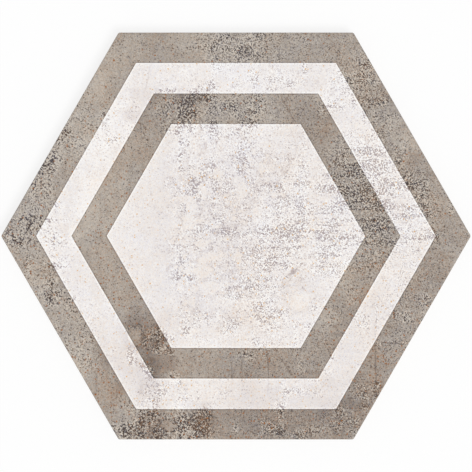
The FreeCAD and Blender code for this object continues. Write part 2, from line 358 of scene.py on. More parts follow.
def crease_marks(x, y):
    """Signed distance to the nearest crease, over its half width, and that crease's strength. The
    strength fades at the ends, at CREASE_REACH to the side, and halfway to the next crease, so that
    the sign never changes where it shows, except on the crease."""
    nearest = np.full(x.shape, FAR_AWAY)
    second = np.full(x.shape, FAR_AWAY)
    across = np.zeros_like(x)
    strength = np.zeros_like(x)
    for line_strength, half_width, line in CREASES:
        knots = np.array(line, dtype=float)
        lengths = np.hypot(*np.diff(knots, axis=0).T)
        line_nearest = np.full(x.shape, FAR_AWAY)
        line_side = np.zeros_like(x)
        line_along = np.zeros_like(x)
        for start, end, length, before in zip(knots, knots[1:], lengths, np.cumsum(lengths) - lengths):
            way = (end - start) / length
            along = (x - start[0]) * way[0] + (y - start[1]) * way[1]
            aside = (y - start[1]) * way[0] - (x - start[0]) * way[1]
            held = np.clip(along, 0, length)
            distance = np.hypot(along - held, aside)
            closer = distance < line_nearest
            line_nearest = np.where(closer, distance, line_nearest)
            line_side = np.where(closer, np.sign(aside), line_side)
            line_along = np.where(closer, before + held, line_along)
        whole = lengths.sum()
        from_ends = np.minimum(line_along, whole - line_along) / min(CREASE_FADE, whole / 2)
        closer = line_nearest < nearest
        second = np.where(closer, nearest, np.minimum(second, line_nearest))
        nearest = np.where(closer, line_nearest, nearest)
        across = np.where(closer, line_side * line_nearest / half_width, across)
        strength = np.where(closer, line_strength * smooth(from_ends), strength)
    strength *= smooth(CREASE_REACH - nearest) * smooth(second - nearest)
    return across, strength


print(f"{len(SPECKS)} patches of specks, {len(STAINS)} stains, {len(ISLANDS)} islands, "
      f"{len(CREASES)} creases")


# %% [markdown]
# ## The wearing face
# The face is a lattice of triangles in rings about the middle, so that its rim runs along the
# outline with no cut triangles. Near the rim, the points of a ring gather at its corners, where the
# outline is rounded. The glaze is a skin of melted glass on pressed clay, never quite flat, so the
# points sink by a few hundredths of a millimetre, and a little more where the specks are dense.

# %% Numbers of a lattice in rings
FACE_RINGS = 140    # so that a step of the lattice is 0.9 mm
ARC_STEPS = 3       # of the steps of a side, on each of its two arcs
GATHER_ROWS = 12    # over these outer rows, a ring turns from even to rounded
RELIEF = 0.05       # depth of the uneven glaze
PITTING = 0.06      # further depth where the specks are dense
RELIEF_SIZE = 5.0   # of its swells


def ring_number(ring, side, step):
    """Number of a point of the lattice: the middle is 0, and ring r holds 6r points after it."""
    first = 1 + 3 * ring * (ring - 1)
    around = (side * ring + step) % np.maximum(SIDES * ring, 1)
    return np.where(ring == 0, 0, first + around)


def face_triangles(ring, side, step):
    """Each step of a ring is the base of a triangle whose tip is in the ring inside it. The steps of
    the inner ring are bases too, except that each side has one fewer of them."""
    tip = ring_number(ring - 1, side, step)
    outward = np.stack([ring_number(ring, side, step), ring_number(ring, side, step + 1), tip], axis=1)
    inner = step < ring - 1
    inward = np.stack([tip, ring_number(ring, side, step + 1), ring_number(ring - 1, side, step + 1)],
                      axis=1)[inner]
    return np.concatenate([outward, inward])


# %% Points of the face
def face_points(ring, side, step):
    """An even hexagon of each ring, blended into the rounded outline over the last rows."""
    share = ring / FACE_RINGS
    rim = half_flats - arris_radius
    along = (step / ring)[:, None]
    corner = 2 * HALF_CORNER * side
    even = directions(corner) * (1 - along) + directions(corner + 2 * HALF_CORNER) * along
    even *= (rim / math.cos(HALF_CORNER) * share)[:, None]
    rounded = rounded_hexagon(side, step, ring, rim, corner_radius - arris_radius, ARC_STEPS)
    rounded *= share[:, None]
    gathered = smooth((ring - FACE_RINGS + GATHER_ROWS) / GATHER_ROWS)[:, None]
    plane = even * (1 - gathered) + rounded * gathered
    plane = np.concatenate([np.zeros((1, 2)), plane])
    x, y = plane.T
    speck = np.clip(sum_of_marks(x, y, SPECKS), 0, 1)
    sink = RELIEF * (0.5 + 0.5 * cloud(x, y, RELIEF_SIZE, seed=41))
    sink += PITTING * speck * np.abs(cloud(x, y, RELIEF_SIZE / 2, seed=47))
    away_from_rim = np.clip((FACE_RINGS - np.concatenate([[0], ring])) / ARC_STEPS, 0, 1)
    height = face_height - sink * away_from_rim
    return np.column_stack([plane, height])


ring_of = np.repeat(np.arange(1, FACE_RINGS + 1), SIDES * np.arange(1, FACE_RINGS + 1))
place = np.arange(ring_of.size) - 3 * ring_of * (ring_of - 1)
side_of, step_of = np.divmod(place, ring_of)
face = face_points(ring_of, side_of, step_of)
face_faces = face_triangles(ring_of, side_of, step_of)
print(f"face: {len(face)} points, {len(face_faces)} triangles")

# %% [markdown]
# ## The pressed edge
# The side of the tile is a profile carried round the outline. From the face down it rolls over the
# arris as a quarter of a circle, stands upright where it meets the grout, draws in along the flank
# that let the tile leave the die, and ends in a small chamfer at the back.

# %% Profile carried round the outline
ARRIS_ROWS = 9
column_side = np.repeat(np.arange(SIDES), FACE_RINGS)
column_step = np.tile(np.arange(FACE_RINGS), SIDES)
columns = column_side.size


def edge_row(inset, height, radius):
    """One level of the edge: the outline drawn in by the inset, at that height."""
    plane = rounded_hexagon(column_side, column_step, FACE_RINGS, half_flats - inset, radius, ARC_STEPS)
    return np.column_stack([plane, np.full(columns, height)])


def arris_row(turn):
    """A level of the quarter circle of the arris, where turn goes from 0 on the face to a right angle."""
    inset = arris_radius * (1 - math.sin(turn))
    drop = arris_radius * (1 - math.cos(turn))
    return edge_row(inset, face_height - drop, corner_radius - inset)


arris_turns = np.linspace(0, math.pi / 2, ARRIS_ROWS + 1)[1:]
edge_rows = [arris_row(turn) for turn in arris_turns]
edge_rows.append(edge_row(0, face_height - joint_face_height, corner_radius))
edge_rows.append(edge_row(flank_draft, back_chamfer, corner_radius))
edge_rows.append(edge_row(flank_draft + back_chamfer, 0, corner_radius))
edge = np.concatenate(edge_rows)
print(f"edge: {len(edge_rows)} rows of {columns} points")

# %% [markdown]
# ## The honeycomb of the back
# The back has shallow pockets that the adhesive keys into. One cell of the honeycomb is a stack of
# hexagons, each further in: the middle of the rib, the rounded lip, the sloping wall, the rounded
# foot and the floor. The cell is copied to every pocket's place, and neighbours share the points on
# the middle of their rib. Round the field, triangles join its zigzag border to the outline.

# %% One cell and its copies
CELL_STEPS = 3      # along each side of a cell
EASE = 0.12         # how far the lip and the foot are rounded
SHARED_GRID = 0.01  # millimetres, the grid on which shared points are found
pocket_corner_radius = 0.9
mouth = (pocket_pitch - rib_width) / 2
floor_apothem = mouth - pocket_wall_run
CELL_ROWS = [
    # apothem, height, corner radius
    (pocket_pitch / 2, 0.0, pocket_corner_radius),
    (mouth + EASE, 0.0, pocket_corner_radius + EASE),
    (mouth - EASE, EASE, pocket_corner_radius - EASE),
    (floor_apothem + EASE, pocket_depth - EASE, pocket_corner_radius - 2 * EASE),
    (floor_apothem - EASE, pocket_depth, pocket_corner_radius - 4 * EASE),
]
cell_columns = SIDES * CELL_STEPS
cell_side, cell_step = np.divmod(np.arange(cell_columns), CELL_STEPS)


def cell_rows():
    """The hexagons of one cell about the origin, with two of the corners on the Y axis. The outermost
    one keeps its sharp corners, because three cells meet there."""
    rows = []
    for apothem, height, radius in CELL_ROWS:
        plane = rounded_hexagon(cell_side, cell_step, CELL_STEPS, apothem, radius, 1, HALF_CORNER)
        rows.append(np.column_stack([plane, np.full(cell_columns, height)]))
    at_corner = cell_step == 0
    sharp = directions(HALF_CORNER + 2 * HALF_CORNER * cell_side) * pocket_pitch / 2 / math.cos(HALF_CORNER)
    rows[0][at_corner, :2] = sharp[at_corner]
    return np.array(rows)


def pocket_centres():
    """Middles of the pockets, row by row: a hexagon of pocket_rings rings about the middle one."""
    row_spacing = pocket_pitch * math.cos(HALF_CORNER)
    centres = []
    for row in range(-pocket_rings, pocket_rings + 1):
        in_row = 2 * pocket_rings + 1 - abs(row)
        along = (np.arange(in_row) - (in_row - 1) / 2) * pocket_pitch
        centres.append(np.column_stack([along, np.full(in_row, row * row_spacing), np.zeros(in_row)]))
    return np.concatenate(centres)


def honeycomb():
    """Points and faces of all cells. Points that cells share are found by rounding their places."""
    centres = pocket_centres()
    cells = centres[:, None, None, :] + cell_rows()[None]
    border = cells[:, 0].reshape(-1, 3)
    grid = np.round(border / SHARED_GRID).astype(int)
    _, first, shared = np.unique(grid, axis=0, return_index=True, return_inverse=True)
    shared = shared.reshape(len(centres), cell_columns)
    inside = cells[:, 1:].reshape(len(centres), -1, 3)
    middles = centres + [0, 0, pocket_depth]
    inner = np.concatenate([inside, middles[:, None]], axis=1)
    points = np.concatenate([border[first], inner.reshape(-1, 3)])
    own = len(first) + np.arange(len(centres))[:, None] * inner.shape[1] + np.arange(inner.shape[1])
    rows = own[:, :-1].reshape(len(centres), len(CELL_ROWS) - 1, cell_columns)
    rows = np.concatenate([shared[:, None], rows], axis=1)
    after = np.roll(rows, -1, axis=2)
    walls = np.stack([rows[:, :-1], rows[:, 1:], after[:, 1:], after[:, :-1]], axis=-1).reshape(-1, 4)
    hubs = np.broadcast_to(own[:, -1:], rows[:, -1].shape)
    floors = np.stack([rows[:, -1], hubs, after[:, -1]], axis=-1).reshape(-1, 3)
    starts = rows[:, 0].ravel()
    ends = after[:, 0].ravel()
    lone = ~np.isin(starts * len(points) + ends, ends * len(points) + starts)
    return points, walls, floors, np.unique(starts[lone])


def turn_of(points):
    """Angle of each point about the middle, from 0 up to a whole turn."""
    return np.arctan2(points[:, 1], points[:, 0]) % (2 * math.pi)


cells, cell_walls, cell_floors, cell_border = honeycomb()
cell_border = cell_border[np.argsort(turn_of(cells[cell_border]))]
print(f"honeycomb: {len(cell_floors) // cell_columns} pockets, {len(cells)} points")

# %% Rim between the honeycomb and the outline
def rim_triangles(outer_turn, inner_turn):
    """Triangles between two closed loops. Going round by angle, each loop steps in its turn, and every
    step makes a triangle with the point that the other loop has reached."""
    whole = 2 * math.pi
    outer_ahead = np.append(outer_turn[1:], outer_turn[0] + whole)
    inner_ahead = np.append(inner_turn[1:], inner_turn[0] + whole)
    outer = np.arange(outer_turn.size)
    inner = np.arange(inner_turn.size)
    reached = np.searchsorted(inner_turn, outer_ahead, side="right") - 1
    wide = np.stack([outer, reached % inner.size, (outer + 1) % outer.size], axis=1)
    two_rounds = np.concatenate([outer_turn, outer_turn + whole])
    reached = np.searchsorted(two_rounds, inner_ahead, side="left") - 1
    narrow = np.stack([inner, (inner + 1) % inner.size, reached % outer.size], axis=1)
    return wide, narrow


outer_row = edge_rows[-1]
outer_turn = turn_of(outer_row)
wide, narrow = rim_triangles(outer_turn, turn_of(cells[cell_border]))
print(f"rim: {len(wide) + len(narrow)} triangles")

# %% [markdown]
# ## One closed mesh
# Face, edge, honeycomb and rim are joined point to point, so the tile is watertight like the real
# piece. The glaze covers the face and the arris, and the bare porcelain body shows below them. The
# edges between joint face, flank, chamfer and back are kept crisp, and the rest is shaded smooth.

# %% Join the parts and fill the mesh
face_size = len(face)
edge_size = len(edge)
last_ring = face_size - columns + np.arange(columns)
edge_numbers = np.concatenate([last_ring, face_size + np.arange(edge_size)]).reshape(-1, columns)
edge_after = np.roll(edge_numbers, -1, axis=1)
edge_quads = np.stack([edge_numbers[:-1], edge_numbers[1:], edge_after[1:], edge_after[:-1]], axis=-1)
cells_start = face_size + edge_size
border_numbers = cells_start + cell_border
outer_numbers = edge_numbers[-1]
rim_wide = np.column_stack([
    outer_numbers[wide[:, 0]], border_numbers[wide[:, 1]], outer_numbers[wide[:, 2]]])
rim_narrow = np.column_stack([
    border_numbers[narrow[:, 0]], border_numbers[narrow[:, 1]], outer_numbers[narrow[:, 2]]])

points = np.concatenate([face, edge, cells])
face_blocks = [
    # faces, and 0 for the glaze or 1 for the bare body
    (face_faces, 0),
    (edge_quads[:ARRIS_ROWS].reshape(-1, 4), 0),
    (edge_quads[ARRIS_ROWS:].reshape(-1, 4), 1),
    (cells_start + cell_walls, 1),
    (cells_start + cell_floors, 1),
    (rim_wide, 1),
    (rim_narrow, 1),
]
crisp_rows = edge_numbers[ARRIS_ROWS + 1:]


def fill_mesh(name):
    """A mesh of these points and faces, in metres, with one material number for each face."""
    mesh = bpy.data.meshes.new(name)
    corners = np.concatenate([block.ravel() for block, _ in face_blocks])
    sizes = np.concatenate([np.full(len(block), block.shape[1]) for block, _ in face_blocks])
    covers = np.concatenate([np.full(len(block), cover) for block, cover in face_blocks])
    mesh.vertices.add(len(points))
    mesh.vertices.foreach_set("co", (points * MM).astype(np.float32).ravel())
    mesh.loops.add(len(corners))
    mesh.loops.foreach_set("vertex_index", corners.astype(np.int32))
    mesh.polygons.add(len(sizes))
    mesh.polygons.foreach_set("loop_start", (np.cumsum(sizes) - sizes).astype(np.int32))
    mesh.polygons.foreach_set("material_index", covers.astype(np.int32))
    mesh.update(calc_edges=True)
    mesh.shade_smooth()
    return mesh


def keep_crisp(mesh, rows):
    """Mark the edges that run along these rows as sharp."""
    row_of = np.full(len(mesh.vertices), -1)
    for number, row in enumerate(rows):
        row_of[row] = number
    ends = np.empty(len(mesh.edges) * 2, dtype=np.int32)
    mesh.edges.foreach_get("vertices", ends)
    start_row, end_row = row_of[ends.reshape(-1, 2)].T
    sharp = mesh.attributes.new("sharp_edge", "BOOLEAN", "EDGE")
    sharp.data.foreach_set("value", (start_row >= 0) & (start_row == end_row))


def store_marks(mesh, **marks):
    """Keep these values with each point, under their names, for the material to read."""
    for name, values in marks.items():
        mesh.attributes.new(name, "FLOAT", "POINT").data.foreach_set("value", values.astype(np.float32))


MOST_SPECKS = 1.3

tile_mesh = fill_mesh("tile")
keep_crisp(tile_mesh, crisp_rows)
x, y = points[:, :2].T
crease_across, crease_strength = crease_marks(x, y)
store_marks(
    tile_mesh,
    specks=np.clip(sum_of_marks(x, y, SPECKS), 0, MOST_SPECKS),
    stains=np.clip(sum_of_marks(x, y, STAINS), -1, 1),
    flakes=flake_level(x, y),
    warmth=np.clip(sum_of_marks(x, y, WARMTH), -1, 1),
    crease_across=crease_across,
    crease_strength=crease_strength,
)
tile_mesh.validate(verbose=True)
tile = bpy.data.objects.new("tile", tile_mesh)
bpy.context.scene.collection.objects.link(tile)
triangles = sum(len(block) * (block.shape[1] - 2) for block, _ in face_blocks)
print(f"tile: {len(points)} points, {triangles} triangles")

# %% [markdown]
# ## A flat map of the surface
# Blender's materials don't travel to other programs, so an export bakes their colours into a square
# picture, and a map says which point of it each corner of a face reads. This map is cut like a paper
# cover for the tile. The face, with its arris pressed flat, has the largest scale, because its print
# is the finest. The back is smaller, and the six sides are strips in the room that is left.

# %% Lay the surface out flat
MAP_NAME = "OFBake"
MAP_SIZE = 1024             # pixels along the picture
FACE_SCALE = 3.4            # pixels for a millimetre
SIDE_SCALE = 3.3
BACK_SCALE = 1.6
FACE_MIDDLE = (440, 642)    # pixels from the picture's lower left corner
BACK_MIDDLE = (817, 180)
FIRST_STRIP = (8, 255)
STRIP_PITCH = 11.8          # millimetres from one strip to the next


def pressed_flat(turn):
    """A level of the arris, pressed into the plane of the face: the arc down to it becomes a width."""
    width = arris_radius * turn
    return rounded_hexagon(column_side, column_step, FACE_RINGS, half_flats - arris_radius + width,
                           corner_radius - arris_radius + width, ARC_STEPS)


def side_strips():
    """Corners of the faces below the arris. Each side of the hexagon is a strip: the way along the
    outline runs to the right, and the way down the profile runs down."""
    rows = edge.reshape(len(edge_rows), columns, 3)[ARRIS_ROWS - 1:]
    step_lengths = np.hypot(*(np.roll(rows[0], -1, axis=0) - rows[0])[:, :2].T)[:, None]
    before = (np.cumsum(step_lengths) - step_lengths[:, 0].T)[:, None]
    along = before - before[column_side * FACE_RINGS]
    profile = rows[:, FACE_RINGS // 2]
    down = np.concatenate([[0], np.cumsum(np.linalg.norm(np.diff(profile, axis=0), axis=1))])
    row_of_corner = np.arange(len(rows) - 1)[:, None, None] + [0, 1, 1, 0]
    to_the_right = along + step_lengths * [0, 0, 1, 1]
    downwards = STRIP_PITCH * column_side[:, None] + down[row_of_corner]
    return np.stack(np.broadcast_arrays(to_the_right, -downwards), axis=-1).reshape(-1, 2)


def laid_out(plane, scale, start):
    """Points in millimetres brought to their place in the picture, whose sides are 1 long."""
    return (plane * scale + start) / MAP_SIZE


flat_face = np.concatenate([face[:, :2]] + [pressed_flat(turn) for turn in arris_turns])
flat_back = points[:, :2] * (-1, 1)
glazed = np.concatenate([block.ravel() for block, _ in face_blocks[:2]])
below = np.concatenate([block.ravel() for block, _ in face_blocks[3:]])
corner_places = np.concatenate([
    laid_out(flat_face[glazed], FACE_SCALE, FACE_MIDDLE),
    laid_out(side_strips(), SIDE_SCALE, FIRST_STRIP),
    laid_out(flat_back[below], BACK_SCALE, BACK_MIDDLE),
])
tile_mesh.uv_layers.new(name=MAP_NAME).uv.foreach_set("vector", corner_places.astype(np.float32).ravel())
print(f"map: {len(corner_places)} corners from {corner_places.min():.3f} to {corner_places.max():.3f}")

# %% [markdown]
# ## Tools for the materials
# A material is a small tree of nodes. One function adds any node with its settings and what flows
# into it. Colours are written as a screen shows them and turned to the linear values of light.

# %% Add a node, and write a colour
def add(tree, kind, flows=None, **settings):
    """Add a node. Its kind is Blender's name without ShaderNode in front. Settings are its own
    properties. Flows gives inputs, by name or number, a value, or a node or socket to link."""
    node = tree.nodes.new("ShaderNode" + kind)
    for name, value in settings.items():
        setattr(node, name, value)
    for key, value in (flows or {}).items():
        named = [socket for socket in node.inputs if socket.enabled and socket.name == key]
        socket = named[0] if named else node.inputs[key]
        if isinstance(value, bpy.types.Node):
            value = [out for out in value.outputs if out.enabled][0]
        if isinstance(value, bpy.types.NodeSocket):
            tree.links.new(value, socket)
        else:
            socket.default_value = value
    return node


def linear(hex_colour):
    """Linear red, green, blue and an alpha of 1, from a colour written as #RRGGBB."""
    channels = [int(hex_colour[place:place + 2], 16) / 255 for place in (1, 3, 5)]
    curve = [c / 12.92 if c <= 0.04045 else ((c + 0.055) / 1.055) ** 2.4 for c in channels]
    return (*curve, 1.0)


def new_material(name):
    """A material with an empty tree, and its output node."""
    material = bpy.data.materials.new(name)
    material.use_nodes = True
    material.node_tree.nodes.clear()
    return material, material.node_tree, add(material.node_tree, "OutputMaterial")


def set_stops(ramp_node, stops):
    """Give a colour ramp these (place, hex colour) stops."""
    elements = ramp_node.color_ramp.elements
    while len(elements) < len(stops):
        elements.new(0.5)
    for element, (position, colour) in zip(elements, stops):
        element.position = position
        element.color = linear(colour)


def millimetres(tree):
    """The place on the piece in millimetres from the object's origin."""
    object_place = add(tree, "TexCoord").outputs["Object"]
    return add(tree, "Mapping", {"Vector": object_place, "Scale": (1 / MM, 1 / MM, 1 / MM)})


def stored(tree, name):
    """A value that is stored with the mesh."""
    return add(tree, "Attribute", attribute_name=name).outputs["Fac"]


def noise_at(tree, place, size, detail, roughness=0.5, stretch=(1, 1, 1)):
    """Noise whose features are about size millimetres, drawn out by stretch."""
    spread = tuple(1 / amount for amount in stretch)
    drawn = add(tree, "Mapping", {"Vector": place, "Scale": spread})
    settings = {"Vector": drawn, "Scale": 1 / size, "Detail": detail, "Roughness": roughness}
    return add(tree, "TexNoise", settings)


def rescale(tree, value, before, after, curve="LINEAR"):
    """Bring a value from one range to another and hold it there."""
    flows = {"Value": value, "From Min": before[0], "From Max": before[1],
             "To Min": after[0], "To Max": after[1]}
    return add(tree, "MapRange", flows, interpolation_type=curve)


def total_of(tree, values):
    """Sum of several values, the first of which comes from a node."""
    total = values[0]
    for value in values[1:]:
        total = add(tree, "Math", {0: total, 1: value}, operation="ADD")
    return total


# %% [markdown]
# ## Matt printed glaze
# The face is a matt porcelain glaze with an ink jet print under it. Its four bands are hexagons:
# grey, white, grey and an off-white middle, 16.5 mm apart. One worn layer lies over all of them and
# shows as dark brown specks on the grey and as pale lilac grey ones on the white. So the material
# first works out one darkness for each place and then turns it to a colour twice, for each ink.

# %% Bands of the print
BAND_WIDTH = 16.5
BANDS = 3
middle_field = half_flats - BANDS * BAND_WIDTH
INK_EDGE = 0.1      # softness of the print's edges
DARK_LINE = 0.9     # width of the thin dark line on the grey side of an edge
PALE_LINE = 1.4     # and of the pale one on the white side


def depth_into_grey(tree, place):
    """Millimetres from the nearest band edge, above zero on the grey ink and below on the white. The
    distance from the middle to a hexagon is the larger of |y| and |x| cos 30 + |y| sin 30. Counted
    in band widths from the middle field, a triangle wave of it is grey, white, grey."""
    folded = add(tree, "VectorMath", {0: place}, operation="ABSOLUTE")
    slope = (math.cos(HALF_CORNER), math.sin(HALF_CORNER), 0)
    slanting = add(tree, "VectorMath", {0: folded, 1: slope}, operation="DOT_PRODUCT")
    upright = add(tree, "SeparateXYZ", {0: folded}).outputs["Y"]
    hexagon = add(tree, "Math", {0: slanting, 1: upright}, operation="MAXIMUM")
    half_band = BAND_WIDTH / 2
    widths = rescale(tree, hexagon, (middle_field - half_band, half_flats - half_band), (0, BANDS))
    wave = add(tree, "Math", {0: widths, 1: 1.0}, operation="PINGPONG")
    return rescale(tree, wave, (0, 1), (-half_band, half_band))


print(f"{BANDS} bands of {BAND_WIDTH} mm round a field that ends {middle_field:.1f} mm from the middle")

# %% [markdown]
# ## The worn layer
# The darkness of each place is a sum: stains and clouds, spots and dots of the broken skin, sand,
# streaks, the peeled ground round the flakes, and creases. Each part has a function of its own. It
# reads the marks stored with the mesh, or makes a noise where a mark is too fine to set by hand.

# %% Products, and ragged cells
DOT_SIZE = 0.5      # the print's own dots are 0.1 mm, too fine to show, so its grain is drawn coarser
CELL_PULL = 0.6     # how far a noise pulls the cells' borders, in millimetres
NOISE_RANGE = (0.3, 0.7)        # most values of a noise lie in here


def product_of(tree, first, second):
    """Product of two values."""
    return add(tree, "Math", {0: first, 1: second}, operation="MULTIPLY")


def mosaic(tree, place, size):
    """Ragged cells of about this size: a node with the distance from each cell's middle, and three
    random numbers of the cell."""
    noise = noise_at(tree, place, size, 1).outputs["Color"]
    pull = add(tree, "VectorMath", {0: noise, 1: (CELL_PULL,) * 3}, operation="MULTIPLY")
    bent = add(tree, "VectorMath", {0: place, 1: pull}, operation="ADD")
    cells = add(tree, "TexVoronoi", {"Vector": bent, "Scale": 1 / size})
    return cells, add(tree, "SeparateColor", {"Color": cells.outputs["Color"]}).outputs


# %% Darkness along the creases
WIGGLE = 0.8        # how far a crease strays from its line, in half widths
WIGGLE_SIZE = 2.5
CREASE_SIDE = (1.2, 0.2)        # half widths from the line where it begins, and where it is full


def crease_darkness(tree, place):
    """Dark along the creases: their strength, less to the sides of the wiggling line."""
    across = stored(tree, "crease_across")
    strength = stored(tree, "crease_strength")
    wiggle = rescale(tree, noise_at(tree, place, WIGGLE_SIZE, 3), NOISE_RANGE, (-WIGGLE, WIGGLE))
    strayed = add(tree, "Math", {0: total_of(tree, [across, wiggle])}, operation="ABSOLUTE")
    return product_of(tree, rescale(tree, strayed, CREASE_SIDE, (0, 1), "SMOOTHSTEP"), strength)


# %% Flakes, and the peeled ground round them
FLAKE_SIZE = 6.0
FLAKE_NOISE = (0.2, 0.8)
FLAKE_RAGGED = 3.5          # how far that noise moves a flake's edge, in millimetres
FLAKE_EDGE = (-0.1, 0.2)    # levels at which a flake begins, and at which it is whole
PEELED_LEVEL = 0.8          # the ground is fully peeled from this far below a flake's edge
FLAKE_LINE = 1.1            # darkness of the line along a flake's edge
LINE_OUTSIDE = 0.3          # how far outside the edge that line runs
LINE_REACH = 0.5
GAP_SIZE = 3.0              # a noise of this size breaks the line up
GAP_NOISE = (0.45, 0.6)


def flakes_of_skin(tree, place):
    """Flakes with ragged edges, where their level and a noise are above zero: 1 inside them and 0
    outside. Then how much the ground round them is peeled, and a thin broken line along their edges."""
    level = stored(tree, "flakes")
    noise = noise_at(tree, place, FLAKE_SIZE, 6, 0.7)
    ragged = rescale(tree, noise, FLAKE_NOISE, (-FLAKE_RAGGED, FLAKE_RAGGED))
    inside = total_of(tree, [level, ragged])
    whole = rescale(tree, inside, FLAKE_EDGE, (0, 1))
    flaky = rescale(tree, level, (-FLAKES_SUNK, -PEELED_LEVEL), (0, 1))
    peeled = product_of(tree, flaky, rescale(tree, whole, (0, 1), (1, 0)))
    beside = total_of(tree, [inside, LINE_OUTSIDE])
    from_line = add(tree, "Math", {0: beside}, operation="ABSOLUTE")
    broken_up = rescale(tree, noise_at(tree, place, GAP_SIZE, 3), GAP_NOISE, (0, 1))
    line = product_of(tree, rescale(tree, from_line, (LINE_REACH, 0), (0, FLAKE_LINE)), broken_up)
    return whole, peeled, line


# %% Strokes of the trowel and marks of the boards
STREAK_SIZE = 2.4
STROKE_STRETCH = (10, 1, 1)     # the trowel's strokes are drawn out along X
BOARD_STRETCH = (1, 8, 1)       # and the marks of the boards along Y
STROKES_FADE = (-30, 20)        # along X, the boards' marks give way to the strokes from here to here
STROKES_SHARE = (0.1, 0.9)
TRODDEN_ROWS = (20, 60)         # and the streaks grow stronger from here to here
TRODDEN_GAIN = (1.0, 1.7)


def trowel_and_board_marks(tree, place, x_place):
    """Streaks from about -1 to 1: marks of boards on the left, and strokes of the trowel on the right,
    where they are stronger."""
    strokes = noise_at(tree, place, STREAK_SIZE, 3, 0.6, STROKE_STRETCH)
    boards = noise_at(tree, place, STREAK_SIZE, 3, 0.6, BOARD_STRETCH)
    on_right = rescale(tree, x_place, STROKES_FADE, STROKES_SHARE)
    streak = add(tree, "Mix", {"Factor": on_right, "A": boards, "B": strokes})
    return product_of(tree, rescale(tree, streak, NOISE_RANGE, (-1, 1)),
                      rescale(tree, x_place, TRODDEN_ROWS, TRODDEN_GAIN))


# %% How much of the skin is broken
PATCH_SIZE = 7.0
PATCH_NOISE = (0.35, 0.65)
PATCH_SWING = (-0.6, 0.6)
UNEVEN_SWING = (-0.8, 0.8)      # of the patches and the streaks together
UNEVEN_GAIN = (0.35, 1.85)      # the specks are thinned and thickened by these
LEFT_ON_FLAKES = 0.05           # share of the specks that a flake keeps


def broken_share(tree, place, whole, streaks):
    """How much of the skin is broken: the specks stored with the mesh, made uneven by patches and
    streaks, and nearly none on a flake."""
    specks = stored(tree, "specks")
    patches = rescale(tree, noise_at(tree, place, PATCH_SIZE, 3, 0.65), PATCH_NOISE, PATCH_SWING)
    uneven = rescale(tree, total_of(tree, [patches, streaks]), UNEVEN_SWING, UNEVEN_GAIN)
    off_flakes = rescale(tree, whole, (0, 1), (1, LEFT_ON_FLAKES))
    return product_of(tree, product_of(tree, specks, uneven), off_flakes)


# %% Spots where the skin came away
SPOT_SIZE = 0.7                 # the noise that the spots are cut from, which are about 0.6 mm wide
COARSE_SPOT_SIZE = 1.0          # and the coarser one on the left
SPOTS_GROW = (5, -45)           # along X, the first gives way to the second from here to here
SPOT_TURN = (0.5, 0.6, 0.7)     # the noise has a grain along its axes, so it is turned to hide it
BROKEN = (0, 1.2)               # skin that is whole, and skin that is broken the most
SPOT_THRESHOLD = (0.635, 0.5)
SPOT_EDGE = (-0.005, 0.03)
SPOT_DARKNESS = (0.75, 3.9)
FRESH_GROUND = (-0.01, -0.78)   # the ground between the spots is fresh and light


def spots_of_skin(tree, place, x_place, broken):
    """Dark spots where a noise is above a threshold. It falls where more of the skin is broken, so
    the spots grow and run together there."""
    turned = add(tree, "Mapping", {"Vector": place, "Rotation": SPOT_TURN})
    fine = noise_at(tree, turned, SPOT_SIZE, 1, 0.5)
    coarse = noise_at(tree, turned, COARSE_SPOT_SIZE, 3, 0.55)
    on_left = rescale(tree, x_place, SPOTS_GROW, (0, 1))
    spots = add(tree, "Mix", {"Factor": on_left, "A": fine, "B": coarse})
    threshold = rescale(tree, broken, BROKEN, SPOT_THRESHOLD)
    over = add(tree, "Math", {0: spots, 1: threshold}, operation="SUBTRACT")
    return product_of(tree, rescale(tree, over, SPOT_EDGE, (0, 1), "SMOOTHSTEP"),
                      rescale(tree, broken, BROKEN, SPOT_DARKNESS))


# %% Dark dots and sand
DARK_DOTS = (0.045, 0.17)       # share of the dots that are dark, on whole skin and on broken skin
DOT_EDGE = (-0.02, 0.04)
DOT_DARKNESS = (1.15, 2.0)
SAND_GROWS = (0.05, 1.1)        # as the skin goes from this broken to this
SAND_SWING = (0.18, 1.0)        # a dot is so much lighter or darker at most


def dark_dots(tree, broken, numbers):
    """A dot is dark where its random number is below the share of dark dots."""
    share = rescale(tree, broken, (0, 1), DARK_DOTS)
    below = add(tree, "Math", {0: share, 1: numbers["Red"]}, operation="SUBTRACT")
    return product_of(tree, rescale(tree, below, DOT_EDGE, (0, 1)),
                      rescale(tree, broken, (0, 1), DOT_DARKNESS))


def sand_grains(tree, broken, numbers):
    """Every dot is a little lighter or darker by its random number, more on broken skin."""
    return product_of(tree, rescale(tree, numbers["Green"], (0, 1), (-1, 1)),
                      rescale(tree, broken, SAND_GROWS, SAND_SWING))


# %% Darkness of the worn layer
CLOUD_SIZE = 24.0
CLOUD_SWING = (-0.07, 0.07)
FAINT_STREAKS = 0.08
STAINS_ON_FLAKES = 0.4          # share of a stain that shows on a flake
PEELED_GROUND = 0.18


def worn_darkness(tree, place, dot_numbers, whole, peeled, line):
    """Sum of the layer's parts, about 0 where the print is clean and above 1 where it is darkest."""
    stains = stored(tree, "stains")
    x_place = add(tree, "SeparateXYZ", {0: place}).outputs["X"]
    streaks = trowel_and_board_marks(tree, place, x_place)
    broken = broken_share(tree, place, whole, streaks)
    return total_of(tree, [
        product_of(tree, stains, rescale(tree, whole, (0, 1), (1, STAINS_ON_FLAKES))),
        rescale(tree, noise_at(tree, place, CLOUD_SIZE, 4, 0.6), NOISE_RANGE, CLOUD_SWING),
        spots_of_skin(tree, place, x_place, broken),
        dark_dots(tree, broken, dot_numbers),
        sand_grains(tree, broken, dot_numbers),
        product_of(tree, streaks, FAINT_STREAKS),
        product_of(tree, peeled, PEELED_GROUND),
        line,
        crease_darkness(tree, place),
        rescale(tree, broken, BROKEN, FRESH_GROUND),
    ])


